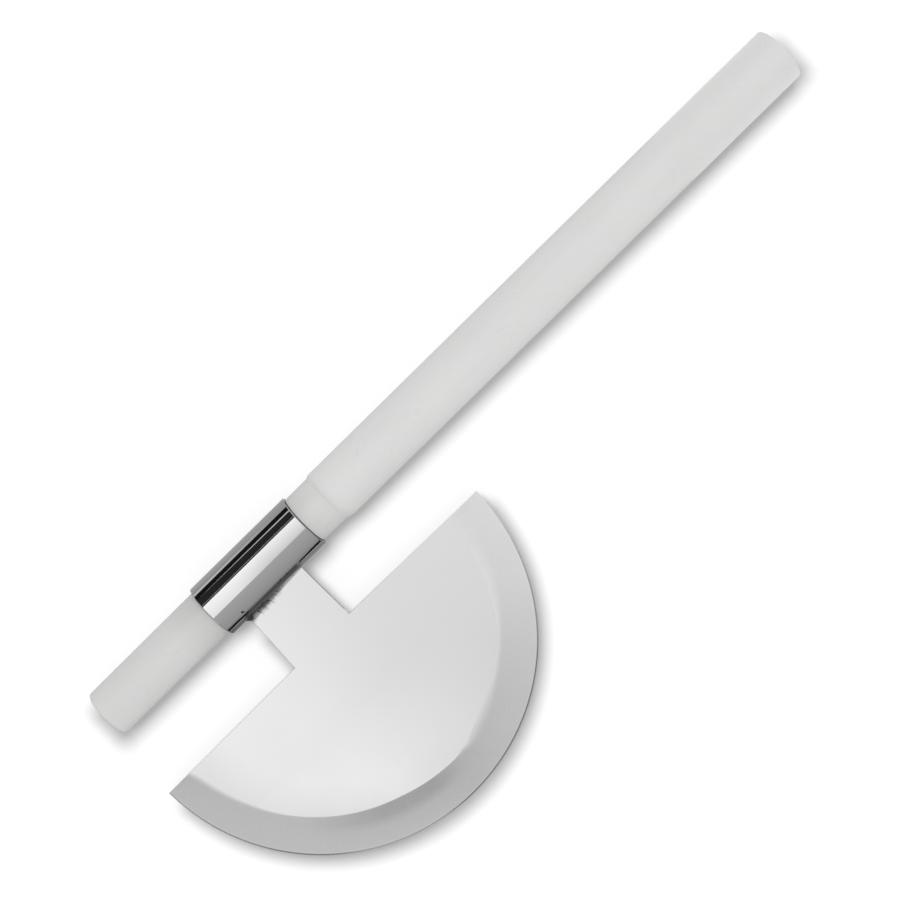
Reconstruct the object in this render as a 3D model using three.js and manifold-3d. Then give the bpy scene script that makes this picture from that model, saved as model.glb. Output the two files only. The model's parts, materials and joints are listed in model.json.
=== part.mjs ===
// A half-moon kitchen cleaver: a round plastic handle driven through a steel socket tube,
// and a half-moon blade whose tang is welded to the side of that tube.
// It lies at rest on the ground plane, on its tube and its cutting edge.
// Units are millimetres and +Z is up. +X runs along the handle to the end of the grip,
// and the blade points to -Y.
import * as THREE from 'three';
import { mergeVertices } from 'three/addons/utils/BufferGeometryUtils.js';
import Module from 'manifold-3d';

// Socket tube
const TUBE_DIAMETER = 30.8;
const TUBE_WALL = 1.5;
const TUBE_LENGTH = 65;
const TUBE_LIP_RADIUS = 0.5;

// Handle, from the stub to the end of the grip
// The taper is the diameter that is lost per millimetre towards the stub
const STUB_LENGTH = 73;
const NECK_LENGTH = 14.5;
const SHOULDER_LENGTH = 6;
const GRIP_LENGTH = 312;
const GRIP_DIAMETER = 30;
const NECK_TAPER = 0.008;
const SOCKET_CLEARANCE = 0.1;
const STUB_EDGE_RADIUS = 1.5;
const GRIP_EDGE_RADIUS = 0.8;

// Blade plate
// The offset is from the middle of the blade to the middle of the tube, towards the grip
const BLADE_RADIUS = 108.3;
const BLADE_DEPTH = 108.8;
const BLADE_THICKNESS = 3;
const BLADE_OFFSET = 4.3;
const TANG_LENGTH = 35.2;
const TANG_ROOT_WIDTH = 35;
const TANG_CHORD_WIDTH = 38.9;

// Ground edge: a hollow bevel on both faces, then a fine cutting edge that ends in a narrow land
const BEVEL_WIDTH = 20.7;
const BEVEL_TIP_WIDTH = 13.7;
const BEVEL_HOLLOW = 0.2;
const EDGE_THICKNESS = 0.6;
const EDGE_WIDTH = 0.7;
const EDGE_LAND = 0.2;

// Weld between tang and tube; the gap parts the weld metal from both
const WELD_LEG = 3.5;
const WELD_GAP = 0.3;

// Facets of the round shapes
const ROUND_STEPS = 64;
const LIP_STEPS = 4;
const SHOULDER_STEPS = 5;
const ARC_STEPS = 96;
const HOLLOW_STEPS = 4;
const WELD_STEPS = 24;

// Sizes that follow from the driving dimensions
const tubeRadius = TUBE_DIAMETER / 2;
const boreRadius = tubeRadius - TUBE_WALL;
const gripRadius = GRIP_DIAMETER / 2;
const halfThickness = BLADE_THICKNESS / 2;

// Places along the handle, measured from the middle of the blade
const tubeStart = BLADE_OFFSET - TUBE_LENGTH / 2;
const tubeEnd = tubeStart + TUBE_LENGTH;
const stubEnd = tubeStart - STUB_LENGTH;
const shoulderStart = tubeEnd + NECK_LENGTH;
const gripStart = shoulderStart + SHOULDER_LENGTH;
const gripEnd = gripStart + GRIP_LENGTH;

// Distances from the handle's axis to the blade's edges
const tangRoot = tubeRadius + WELD_GAP;
const chord = tubeRadius + TANG_LENGTH;
const arcCentre = chord + BLADE_DEPTH - BLADE_RADIUS;

const whitePlastic = { color: 0xe4e4e2, roughness: 0.45, metalness: 0 };
const polishedSteel = { color: 0xd4d6d8, roughness: 0.08, metalness: 1 };
const groundSteel = { color: 0xc9cacb, roughness: 0.35, metalness: 1 };
const weldMetal = { color: 0x8a8a88, roughness: 0.6, metalness: 1 };

const wasm = await Module();
wasm.setup();

/** A closed geometry as a solid that can be joined and cut. */
function solidOf(geometry) {
  const bare = geometry.clone();
  bare.deleteAttribute('normal');
  bare.deleteAttribute('uv');
  const merged = mergeVertices(bare);
  return new wasm.Manifold(new wasm.Mesh({
    numProp: 3,
    vertProperties: new Float32Array(merged.attributes.position.array),
    triVerts: new Uint32Array(merged.index.array),
  }));
}

/** A solid's surface as a geometry. */
function geometryOf(solid) {
  const { vertProperties, triVerts } = solid.getMesh();
  const geometry = new THREE.BufferGeometry();
  geometry.setAttribute('position', new THREE.BufferAttribute(vertProperties, 3));
  geometry.setIndex(new THREE.BufferAttribute(triVerts, 1));
  geometry.computeVertexNormals();
  return geometry;
}

/** A profile of (radius, place along the handle) turned about the handle's axis. */
function turned(profile) {
  const geometry = new THREE.LatheGeometry(profile, ROUND_STEPS);
  return geometry.rotateZ(-Math.PI / 2);
}

/** Points of a quarter round, from one angle to another about its centre. */
function arcPoints(radius, place, size, from, to) {
  const points = [];
  for (let i = 0; i <= LIP_STEPS; i += 1) {
    const angle = from + (to - from) * i / LIP_STEPS;
    points.push(new THREE.Vector2(radius + size * Math.cos(angle), place + size * Math.sin(angle)));
  }
  return points;
}

/** Radius of the tapered neck, which fills the bore where the tube meets the neck. */
function neckRadius(place) {
  return boreRadius - SOCKET_CLEARANCE + (place - tubeEnd) * NECK_TAPER / 2;
}

/** The handle: stub, tapered neck, shoulder and grip, turned from one rod. */
function handleGeometry() {
  const stubRadius = neckRadius(stubEnd);
  const profile = [
    new THREE.Vector2(0, stubEnd),
    ...arcPoints(stubRadius - STUB_EDGE_RADIUS, stubEnd + STUB_EDGE_RADIUS, STUB_EDGE_RADIUS,
      -Math.PI / 2, 0),
    new THREE.Vector2(neckRadius(tubeStart), tubeStart),
    new THREE.Vector2(neckRadius(tubeEnd), tubeEnd),
  ];
  const start = neckRadius(shoulderStart);
  for (let i = 0; i <= SHOULDER_STEPS; i += 1) {
    const share = i / SHOULDER_STEPS;
    const rise = 1 - (1 - share) ** 2;
    profile.push(new THREE.Vector2(
      start + (gripRadius - start) * rise,
      shoulderStart + SHOULDER_LENGTH * share,
    ));
  }
  profile.push(
    ...arcPoints(gripRadius - GRIP_EDGE_RADIUS, gripEnd - GRIP_EDGE_RADIUS, GRIP_EDGE_RADIUS,
      0, Math.PI / 2),
    new THREE.Vector2(0, gripEnd),
  );
  return turned(profile);
}

/** The socket: a plain tube with its lips rounded outside and left square inside. */
function tubeGeometry() {
  const lipRadius = tubeRadius - TUBE_LIP_RADIUS;
  const profile = [
    new THREE.Vector2(boreRadius, tubeStart),
    ...arcPoints(lipRadius, tubeStart + TUBE_LIP_RADIUS, TUBE_LIP_RADIUS, -Math.PI / 2, 0),
    ...arcPoints(lipRadius, tubeEnd - TUBE_LIP_RADIUS, TUBE_LIP_RADIUS, 0, Math.PI / 2),
    new THREE.Vector2(boreRadius, tubeEnd),
    new THREE.Vector2(boreRadius, tubeStart),
  ];
  return turned(profile);
}

/** Corners of the tang, from its chord end round its root and back, grown outwards if asked. */
function tangCorners(grow = 0) {
  const root = TANG_ROOT_WIDTH / 2 + grow;
  const foot = TANG_CHORD_WIDTH / 2 + grow;
  return [
    new THREE.Vector2(-foot, -chord),
    new THREE.Vector2(-root, -tangRoot + grow),
    new THREE.Vector2(root, -tangRoot + grow),
    new THREE.Vector2(foot, -chord),
  ];
}

/** Width of the bevel at an angle round the arc: narrow at the tips, full in the middle. */
function bevelWidth(angle) {
  const share = Math.sqrt(Math.max(Math.sin(angle), 0));
  return BEVEL_TIP_WIDTH + (BEVEL_WIDTH - BEVEL_TIP_WIDTH) * share;
}

/** A line round the arc from tip to tip, at a height, and at a radius that may change with the angle. */
function arcLine(radiusAt, height) {
  const tipRadius = radiusAt(0);
  const tipAngle = Math.asin((chord - arcCentre) / tipRadius);
  const points = [];
  for (let i = 0; i <= ARC_STEPS; i += 1) {
    const angle = tipAngle + (Math.PI - 2 * tipAngle) * i / ARC_STEPS;
    const radius = i === 0 || i === ARC_STEPS ? tipRadius : radiusAt(angle);
    points.push(new THREE.Vector3(
      radius * Math.cos(angle),
      -arcCentre - radius * Math.sin(angle),
      height,
    ));
  }
  return points;
}

/** Lines from the flat of the blade out to its cutting edge: the hollow bevel, then the fine edge. */
function groundLines() {
  const bevelEnd = BLADE_RADIUS - EDGE_WIDTH;
  const lines = [];
  for (let i = 0; i <= HOLLOW_STEPS; i += 1) {
    const share = i / HOLLOW_STEPS;
    const straight = halfThickness + (EDGE_THICKNESS / 2 - halfThickness) * share;
    const height = straight - BEVEL_HOLLOW * 4 * share * (1 - share);
    lines.push(arcLine((angle) => bevelEnd - (1 - share) * (bevelWidth(angle) - EDGE_WIDTH), height));
  }
  lines.push(arcLine(() => BLADE_RADIUS, EDGE_LAND / 2));
  return lines;
}

/** The blade plate: tang, chord and arc, with both faces ground to the cutting edge. */
function bladeGeometry() {
  const lines = groundLines();
  const tang = tangCorners().map((corner) => new THREE.Vector3(corner.x, corner.y, halfThickness));
  const corners = [];
  const under = (point) => new THREE.Vector3(point.x, point.y, -point.z);
  const bothFaces = (a, b, c) => {
    corners.push(a, b, c);
    corners.push(under(a), under(c), under(b));
  };
  const wall = (a, b) => {
    corners.push(a, under(a), under(b));
    corners.push(a, under(b), b);
  };

  const moon = [tang[0], tang[3], ...lines[0]];
  for (const outline of [tang, moon]) {
    for (const [a, b, c] of THREE.ShapeUtils.triangulateShape(outline, [])) {
      bothFaces(outline[a], outline[b], outline[c]);
    }
  }
  for (let k = 1; k < lines.length; k += 1) {
    const inner = lines[k - 1];
    const outer = lines[k];
    for (let i = 0; i < ARC_STEPS; i += 1) {
      bothFaces(inner[i], outer[i + 1], outer[i]);
      bothFaces(inner[i], inner[i + 1], outer[i + 1]);
    }
  }
  const cuttingEdge = lines[lines.length - 1];
  const chordEdge = [
    ...lines.map((line) => line[ARC_STEPS]).reverse(),
    ...tang,
    ...lines.map((line) => line[0]),
  ];
  for (const edge of [cuttingEdge, chordEdge]) {
    for (let i = 1; i < edge.length; i += 1) {
      wall(edge[i], edge[i - 1]);
    }
  }

  const geometry = new THREE.BufferGeometry().setFromPoints(corners);
  geometry.computeVertexNormals();
  return geometry;
}

/** One weld run along a face of the tang, wrapped round the tang's ends to the middle of the plate. */
function weldGeometry(side) {
  const corner = -Math.sqrt(tubeRadius ** 2 - halfThickness ** 2);
  const run = new THREE.CapsuleGeometry(WELD_LEG, TANG_ROOT_WIDTH, WELD_STEPS / 4, WELD_STEPS);
  run.rotateZ(-Math.PI / 2).translate(0, corner, side * halfThickness);

  const reach = TANG_ROOT_WIDTH + 4 * WELD_LEG;
  const half = new THREE.BoxGeometry(reach, reach, reach);
  half.translate(0, corner, side * (reach + WELD_GAP) / 2);

  const tubeRoom = tubeRadius + WELD_GAP;
  const tube = new THREE.CylinderGeometry(tubeRoom, tubeRoom, reach, ROUND_STEPS);
  tube.rotateZ(-Math.PI / 2);

  const plateRoom = BLADE_THICKNESS + 2 * WELD_GAP;
  const plate = new THREE.ExtrudeGeometry(new THREE.Shape(tangCorners(WELD_GAP)), {
    depth: plateRoom,
    bevelEnabled: false,
  });
  plate.translate(0, 0, -plateRoom / 2);

  const bead = solidOf(run).intersect(solidOf(half));
  return geometryOf(bead.subtract(solidOf(tube)).subtract(solidOf(plate)));
}

/** A named piece of the cleaver in its own material. */
function piece(name, geometry, finish) {
  const mesh = new THREE.Mesh(geometry, new THREE.MeshStandardMaterial(finish));
  mesh.name = name;
  return mesh;
}

/** How far the tool rolls about its tube until the ground edge of the blade meets the ground. */
function restRoll() {
  const reach = arcCentre + BLADE_RADIUS;
  const touch = (out, height) => Math.asin(tubeRadius / Math.hypot(out, height)) - Math.atan2(height, out);
  return Math.min(
    touch(reach, EDGE_LAND / 2),
    touch(reach - EDGE_WIDTH, EDGE_THICKNESS / 2),
    touch(reach - BEVEL_WIDTH, halfThickness),
  );
}

const cleaver = new THREE.Group();
cleaver.add(
  piece('handle', handleGeometry(), whitePlastic),
  piece('socket_tube', tubeGeometry(), polishedSteel),
  piece('blade', bladeGeometry(), groundSteel),
  piece('weld_bead_upper', weldGeometry(1), weldMetal),
  piece('weld_bead_lower', weldGeometry(-1), weldMetal),
);
cleaver.rotation.x = restRoll();

// The origin is on the ground, under the middle of the box that the cleaver fills.
const box = new THREE.Box3().setFromObject(cleaver, true);
const middle = box.getCenter(new THREE.Vector3());
cleaver.position.set(-middle.x, -middle.y, -box.min.z);

const part = new THREE.Group();
part.add(cleaver);

export default part;
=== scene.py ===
"""A half-moon kitchen cleaver, dressed: turned plastic handle, polished socket tube, ground blade and welds.

Lengths are metres, and the places that a finish looks up are millimetres. Every piece is modelled in the
tool's own axes: +X runs along the handle to the end of the grip from the middle of the blade, -Y from the
handle's axis to the cutting edge, and +Z out of the blade's upper cheek. The layout, which is read from the
frame, then lays these axes where the solids lie.
"""

import json
import logging
import math
from abc import ABC, abstractmethod
from dataclasses import dataclass
from enum import Enum
from typing import ClassVar, Optional, Sequence, Union

import bmesh
import bpy
from mathutils import Matrix, Vector, noise


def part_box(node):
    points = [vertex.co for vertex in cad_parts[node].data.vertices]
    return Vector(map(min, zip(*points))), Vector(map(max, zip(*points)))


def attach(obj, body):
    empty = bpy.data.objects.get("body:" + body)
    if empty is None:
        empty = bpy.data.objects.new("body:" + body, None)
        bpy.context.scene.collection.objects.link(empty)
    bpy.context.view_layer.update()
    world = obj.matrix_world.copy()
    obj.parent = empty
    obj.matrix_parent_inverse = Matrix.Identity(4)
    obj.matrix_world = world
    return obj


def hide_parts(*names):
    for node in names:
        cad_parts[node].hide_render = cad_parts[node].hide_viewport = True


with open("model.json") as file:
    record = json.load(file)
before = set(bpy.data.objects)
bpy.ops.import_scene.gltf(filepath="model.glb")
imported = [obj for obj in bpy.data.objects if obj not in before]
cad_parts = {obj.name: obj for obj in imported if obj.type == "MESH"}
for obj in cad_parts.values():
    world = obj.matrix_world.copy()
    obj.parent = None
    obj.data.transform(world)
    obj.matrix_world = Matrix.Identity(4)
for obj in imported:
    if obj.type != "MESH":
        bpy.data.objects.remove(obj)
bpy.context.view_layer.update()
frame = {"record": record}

LOG = logging.getLogger("cleaver")
MM = 0.001
BODY = "root"

Socket = bpy.types.NodeSocket
Inputs = bpy.types.bpy_prop_collection
Feed = Union[Socket, float, Sequence[float]]
Colour = tuple[float, float, float]
Point = tuple[float, float, float]
Pair = tuple[float, float]
Four = tuple[float, float, float, float]
Profile = list[Pair]


class Slot(Enum):
    """The record's material slots."""

    PLASTIC = "white_plastic"
    POLISHED = "polished_steel"
    GROUND = "ground_steel"
    WELD = "weld_metal"


class Cheek(Enum):
    """The two faces of the blade, by the sign of their side."""

    UPPER = 1
    LOWER = -1


class SocketKind(Enum):
    """Kinds of socket on a shader node group."""

    VALUE = "NodeSocketFloat"
    VECTOR = "NodeSocketVector"


def ease(value: float, low: float, high: float) -> float:
    """Rise smoothly from 0 to 1.

    Args:
        value: the place to look up.
        low: where the rise starts.
        high: where it ends.

    Returns:
        The share risen, from 0 to 1.
    """
    share = min(max((value - low) / (high - low), 0.0), 1.0)
    return share * share * (3.0 - 2.0 * share)


def read_off(table: tuple[Pair, ...], place: float) -> float:
    """Read a value off a table of places, straight between them and level past both ends.

    Args:
        table: pairs of a place and its value, in rising order.
        place: the place to look up.

    Returns:
        The value there.
    """
    if place <= table[0][0]:
        return table[0][1]
    for (near, low), (far, high) in zip(table, table[1:]):
        if place <= far:
            return low + (high - low) * (place - near) / (far - near)
    return table[-1][1]


@dataclass(frozen=True)
class Layout:
    """The tool's own axes in the row frame, and the places and radii that the solids give along them.

    The mouth's skew is how far the tube's mouth on the grip's side leans from square, as a slope.
    """

    position: Vector
    roll: float
    stub_end: float
    tube_start: float
    tube_end: float
    grip_end: float
    tube_radius: float
    grip_radius: float
    blade_radius: float
    mouth_skew: float = 0.052

    @classmethod
    def read(cls) -> "Layout":
        """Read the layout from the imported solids.

        Returns:
            The layout, with places along the handle measured from the middle of the blade.
        """
        handle_low, handle_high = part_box("handle")
        tube_low, tube_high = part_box("socket_tube")
        blade_low, blade_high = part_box("blade")
        axis = (handle_low + handle_high) / 2
        middle = (blade_low.x + blade_high.x) / 2
        cheek = next(mount for mount in frame["record"]["mounts"] if mount["name"] == "blade_cheek")
        return cls(
            position=Vector((middle, axis.y, axis.z)),
            roll=math.atan2(-cheek["axis"][1], cheek["axis"][2]),
            stub_end=handle_low.x - middle,
            tube_start=tube_low.x - middle,
            tube_end=tube_high.x - middle,
            grip_end=handle_high.x - middle,
            tube_radius=(tube_high.z - tube_low.z) / 2,
            grip_radius=(handle_high.z - handle_low.z) / 2,
            blade_radius=(blade_high.x - blade_low.x) / 2,
        )

    def axes(self) -> Matrix:
        """The matrix from the tool's axes to the row frame."""
        return Matrix.Translation(self.position) @ Matrix.Rotation(self.roll, 4, "X")


class Nodes:
    """Short calls that add and join the nodes of one tree."""

    def __init__(self, tree: bpy.types.NodeTree) -> None:
        """Keep the tree that the nodes go into."""
        self.tree = tree

    def feed(self, target: Socket, value: Feed) -> None:
        """Give an input its value.

        Args:
            target: the input.
            value: a socket to link, or a constant.
        """
        if isinstance(value, bpy.types.NodeSocket):
            self.tree.links.new(value, target)
        else:
            target.default_value = value

    def add(
        self, kind: str, feeds: Optional[dict[Union[str, int], Feed]] = None, **settings: object
    ) -> bpy.types.Node:
        """Add a node.

        Args:
            kind: the node's type, without the ShaderNode that it starts with.
            feeds: a socket or a constant for each input, by name or number.
            settings: the node's own properties.

        Returns:
            The new node.
        """
        node = self.tree.nodes.new("ShaderNode" + kind)
        for name, value in settings.items():
            setattr(node, name, value)
        for key, value in (feeds or {}).items():
            self.feed(node.inputs[key], value)
        return node

    def math(self, operation: str, first: Feed, second: Feed = 0.0) -> Socket:
        """The result of a Math node.

        Args:
            operation: the node's operation.
            first: the first value.
            second: the second value, for an operation that has one.

        Returns:
            The result's socket.
        """
        return self.add("Math", {0: first, 1: second}, operation=operation).outputs[0]

    def plus(self, first: Feed, second: Feed) -> Socket:
        """The sum of two values."""
        return self.math("ADD", first, second)

    def minus(self, first: Feed, second: Feed) -> Socket:
        """The first value less the second."""
        return self.math("SUBTRACT", first, second)

    def times(self, first: Feed, second: Feed) -> Socket:
        """The product of two values."""
        return self.math("MULTIPLY", first, second)

    def scale(self, vector: Feed, factors: Feed) -> Socket:
        """A vector multiplied by another, axis by axis."""
        return self.add("VectorMath", {0: vector, 1: factors}, operation="MULTIPLY").outputs[0]

    def split(self, vector: Feed) -> tuple[Socket, Socket, Socket]:
        """The X, Y and Z of a vector."""
        outputs = self.add("SeparateXYZ", {0: vector}).outputs
        return outputs[0], outputs[1], outputs[2]

    def join(self, x: Feed, y: Feed, z: Feed = 0.0) -> Socket:
        """A vector of three values."""
        return self.add("CombineXYZ", {0: x, 1: y, 2: z}).outputs[0]

    def reach(self, first: Feed, second: Feed) -> Socket:
        """The length of a vector of two values."""
        return self.add("VectorMath", {0: self.join(first, second)}, operation="LENGTH").outputs["Value"]

    def noise(self, vector: Feed, scale: Feed = 1.0, detail: float = 2.0, rough: float = 0.5) -> Socket:
        """Smooth noise about one half.

        Args:
            vector: where it is looked up.
            scale: how many lumps lie in one unit.
            detail: how many finer layers are added.
            rough: how strong the finer layers are.

        Returns:
            The noise's value.
        """
        feeds = {"Vector": vector, "Scale": scale, "Detail": detail, "Roughness": rough}
        return self.add("TexNoise", feeds).outputs[0]

    def spread(self, value: Feed, low: Feed, high: Feed, start: Feed = 0.0, end: Feed = 1.0) -> Socket:
        """Carry a range over to another one, and hold it at the ends.

        Args:
            value: the value to carry over.
            low: the value that gives start.
            high: the value that gives end.
            start: the result at low.
            end: the result at high.

        Returns:
            The result's socket.
        """
        feeds = {0: value, 1: low, 2: high, 3: start, 4: end}
        return self.add("MapRange", feeds, clamp=True).outputs[0]

    def between(self, value: Feed, ends: Four) -> Socket:
        """A share that is 1 between two places and fades out past both.

        Args:
            value: the place to look up.
            ends: where the share starts to rise, is whole, starts to fall and is gone.

        Returns:
            The share, from 0 to 1.
        """
        rise, whole, fall, gone = ends
        return self.times(self.spread(value, rise, whole), self.spread(value, gone, fall))

    def blend(self, share: Feed, first: Feed, second: Feed) -> Socket:
        """Mix two colours.

        Args:
            share: how much of the second colour shows.
            first: the first colour, with its alpha.
            second: the second colour, with its alpha.

        Returns:
            The mixed colour's socket.
        """
        feeds = {0: share, 6: first, 7: second}
        return self.add("Mix", feeds, data_type="RGBA").outputs[2]

    def place(self, layout: Layout) -> Socket:
        """Where a point of the surface lies in the tool's axes.

        Args:
            layout: the tool's layout.

        Returns:
            The place's socket, in millimetres.
        """
        feeds = {
            "Vector": self.add("TexCoord").outputs["Object"],
            "Location": layout.position,
            "Rotation": (layout.roll, 0.0, 0.0),
            "Scale": (MM, MM, MM),
        }
        return self.add("Mapping", feeds, vector_type="TEXTURE").outputs[0]

    def bump(self, height: Feed, depth: float, strength: float = 1.0) -> Socket:
        """A normal that follows a height.

        Args:
            height: the height, from 0 to 1.
            depth: how deep 1 is, in metres.
            strength: how much of it shows.

        Returns:
            The normal's socket.
        """
        return self.add("Bump", {"Height": height, "Distance": depth, "Strength": strength}).outputs[0]


def grey(value: float) -> Four:
    """A neutral colour with its alpha."""
    return (value, value, value, 1.0)


def tinted(colour: Colour) -> Four:
    """A colour with its alpha."""
    return (*colour, 1.0)


class Effect(ABC):
    """A surface effect that several finishes share: a shader node group, built once."""

    name: ClassVar[str]
    takes: ClassVar[dict[str, SocketKind]]
    gives: ClassVar[str]

    def tree(self) -> bpy.types.NodeTree:
        """The effect's node group.

        Returns:
            The group, which is built where it doesn't exist yet.
        """
        made = bpy.data.node_groups.get(self.name)
        if made:
            return made
        made = bpy.data.node_groups.new(self.name, "ShaderNodeTree")
        for name, kind in self.takes.items():
            made.interface.new_socket(name, in_out="INPUT", socket_type=kind.value)
        made.interface.new_socket(self.gives, in_out="OUTPUT", socket_type=SocketKind.VALUE.value)
        nodes = Nodes(made)
        inputs = made.nodes.new("NodeGroupInput").outputs
        outputs = made.nodes.new("NodeGroupOutput").inputs
        nodes.feed(outputs[self.gives], self.result(nodes, inputs))
        return made

    def put(self, nodes: Nodes, *feeds: Feed) -> Socket:
        """Place the effect's group in a material.

        Args:
            nodes: the material's nodes.
            feeds: a socket or a constant for each named input, in the order of takes.

        Returns:
            The group's output.
        """
        node = nodes.add("Group", dict(zip(self.takes, feeds)), node_tree=self.tree())
        return node.outputs[self.gives]

    @abstractmethod
    def result(self, nodes: Nodes, inputs: Inputs) -> Socket:
        """Wire the effect inside its group.

        Args:
            nodes: the group's nodes.
            inputs: the group's inputs, by name.

        Returns:
            The socket behind the group's output.
        """


class GroundLines(Effect):
    """Fine lines left by a belt or a wheel. They run along X of the place that is fed in."""

    name = "ground_lines"
    takes = {"Place": SocketKind.VECTOR, "Length": SocketKind.VALUE, "Pitch": SocketKind.VALUE}
    gives = "Lines"
    FINER: ClassVar[tuple[float, float, float]] = (2.3, 3.1, 3.1)
    DETAIL: ClassVar[float] = 3.0
    ROUGH: ClassVar[float] = 0.6
    CONTRAST: ClassVar[Pair] = (0.55, 1.45)

    def result(self, nodes: Nodes, inputs: Inputs) -> Socket:
        """Stretch noise along the lines, in a coarse and a fine layer.

        Args:
            nodes: the group's nodes.
            inputs: the place, the length of a line and the pitch between lines, in one unit.

        Returns:
            The lines, from 0 to 1.
        """
        x, y, z = nodes.split(inputs["Place"])
        along = nodes.math("DIVIDE", x, inputs["Length"])
        across = nodes.math("DIVIDE", y, inputs["Pitch"])
        depth = nodes.math("DIVIDE", z, inputs["Pitch"])
        line = nodes.join(along, across, depth)
        fine = nodes.noise(nodes.scale(line, self.FINER), detail=self.DETAIL, rough=self.ROUGH)
        coarse = nodes.noise(line, detail=self.DETAIL, rough=self.ROUGH)
        return nodes.spread(nodes.plus(coarse, fine), *self.CONTRAST)


class HandlingMarks(Effect):
    """Cloudy smudges from hands and cloths."""

    name = "handling_marks"
    takes = {"Place": SocketKind.VECTOR, "Size": SocketKind.VALUE}
    gives = "Marks"
    DETAIL: ClassVar[float] = 4.0
    ROUGH: ClassVar[float] = 0.62
    CONTRAST: ClassVar[Pair] = (0.42, 0.72)

    def result(self, nodes: Nodes, inputs: Inputs) -> Socket:
        """Break large clouds up with smaller ones.

        Args:
            nodes: the group's nodes.
            inputs: the place, and the size of a cloud in the same unit.

        Returns:
            The marks, from 0 to 1.
        """
        scale = nodes.math("DIVIDE", 1.0, inputs["Size"])
        clouds = nodes.noise(inputs["Place"], scale, detail=self.DETAIL, rough=self.ROUGH)
        return nodes.spread(clouds, *self.CONTRAST)


class FineScratches(Effect):
    """Sparse hairlines in three directions, each broken into short stretches."""

    name = "fine_scratches"
    takes = {"Place": SocketKind.VECTOR, "Spacing": SocketKind.VALUE}
    gives = "Scratches"
    TURNS: ClassVar[tuple[float, ...]] = (17.0, -34.0, 71.0)
    STRETCH: ClassVar[tuple[float, float, float]] = (0.05, 3.0, 3.0)
    WIDTH: ClassVar[float] = 0.012
    BREAK_SCALE: ClassVar[float] = 0.35
    BREAKS: ClassVar[Pair] = (0.54, 0.62)

    def result(self, nodes: Nodes, inputs: Inputs) -> Socket:
        """Cut thin lines out of stretched noise, at several turns.

        Args:
            nodes: the group's nodes.
            inputs: the place, and the rough spacing of the scratches in the same unit.

        Returns:
            The scratches, from 0 to 1.
        """
        scale = nodes.math("DIVIDE", 1.0, inputs["Spacing"])
        total: Feed = 0.0
        for turn in self.TURNS:
            feeds = {"Vector": inputs["Place"], "Rotation": (0.0, 0.0, math.radians(turn))}
            turned_place = nodes.add("Mapping", feeds).outputs[0]
            lines = nodes.noise(nodes.scale(turned_place, self.STRETCH), scale, detail=1.0)
            middle = nodes.math("ABSOLUTE", nodes.minus(lines, 0.5))
            hairline = nodes.spread(middle, 0.0, self.WIDTH, 1.0, 0.0)
            breaks = nodes.noise(turned_place, nodes.times(scale, self.BREAK_SCALE))
            total = nodes.plus(total, nodes.times(hairline, nodes.spread(breaks, *self.BREAKS)))
        return nodes.math("MINIMUM", total, 1.0)


class WeldStreaks(Effect):
    """How clean the metal is beside the weld: dark in the corner at the tube, ground clean in streaks."""

    name = "weld_streaks"
    takes = {"Place": SocketKind.VECTOR, "Dark to": SocketKind.VALUE, "Clean from": SocketKind.VALUE}
    gives = "Clean"
    REACH: ClassVar[Pair] = (11.8, 15.5)
    STROKE: ClassVar[Pair] = (0.8, 9.0)
    SLANT: ClassVar[float] = 0.3
    FRAY: ClassVar[float] = 5.0
    WANDER: ClassVar[Pair] = (5.0, 5.0)
    SPREAD: ClassVar[tuple[float, float, float]] = (19.0, -18.0, 4.8)

    def result(self, nodes: Nodes, inputs: Inputs) -> Socket:
        """Measure how far a point lies from the handle's axis, and fray that with slanted strokes.

        Args:
            nodes: the group's nodes.
            inputs: the place in the tool's axes, the distance that is dark and the one that is clean, in
                millimetres. Both grow towards the stub.

        Returns:
            The clean share, from 0 to 1.
        """
        x, y, z = nodes.split(inputs["Place"])
        slanted = nodes.plus(x, nodes.times(y, self.SLANT))
        width, length = self.STROKE
        stroked = nodes.scale(nodes.join(slanted, y, z), (1 / width, 1 / length, 1 / length))
        strokes = nodes.times(nodes.minus(nodes.noise(stroked, detail=3.0), 0.5), self.FRAY)
        size, reach = self.WANDER
        lumps = nodes.scale(nodes.join(x, 0.0, z), (1 / size, 1.0, 1 / size))
        wander = nodes.times(nodes.minus(nodes.noise(lumps, detail=1.0), 0.5), reach)
        grip, stub, wider = self.SPREAD
        out = nodes.minus(nodes.plus(strokes, wander), y)
        out = nodes.minus(out, nodes.spread(x, grip, stub, 0.0, wider))
        return nodes.spread(out, inputs["Dark to"], inputs["Clean from"])


GROUND_LINES = GroundLines()
HANDLING_MARKS = HandlingMarks()
FINE_SCRATCHES = FineScratches()
WELD_STREAKS = WeldStreaks()


def blank_material(name: str) -> tuple[bpy.types.Material, Nodes]:
    """Start a material.

    Args:
        name: the material's name.

    Returns:
        The material without a node, and the calls that add its nodes.
    """
    made = bpy.data.materials.new(name)
    made.use_nodes = True
    made.node_tree.nodes.clear()
    return made, Nodes(made.node_tree)


@dataclass(frozen=True)
class Finish(ABC):
    """How one surface looks: a material whose nodes vary it over the tool.

    Its places and sizes are millimetres, and its depths are metres.
    """

    layout: Layout
    name: ClassVar[str]
    constants: ClassVar[dict[str, Feed]]

    def material(self) -> bpy.types.Material:
        """Build the material.

        Returns:
            The material, ready to be put on a mesh.
        """
        made, nodes = blank_material(self.name)
        shader = nodes.add("BsdfPrincipled", self.constants)
        nodes.add("OutputMaterial", {"Surface": shader.outputs[0]})
        for name, socket in self.vary(nodes, nodes.place(self.layout)).items():
            nodes.feed(shader.inputs[name], socket)
        return made

    @abstractmethod
    def vary(self, nodes: Nodes, place: Socket) -> dict[str, Socket]:
        """Wire what changes over the surface.

        Args:
            nodes: the material's nodes.
            place: where a point lies in the tool's axes, in millimetres.

        Returns:
            The socket that feeds each of the shader's named inputs.
        """


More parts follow.
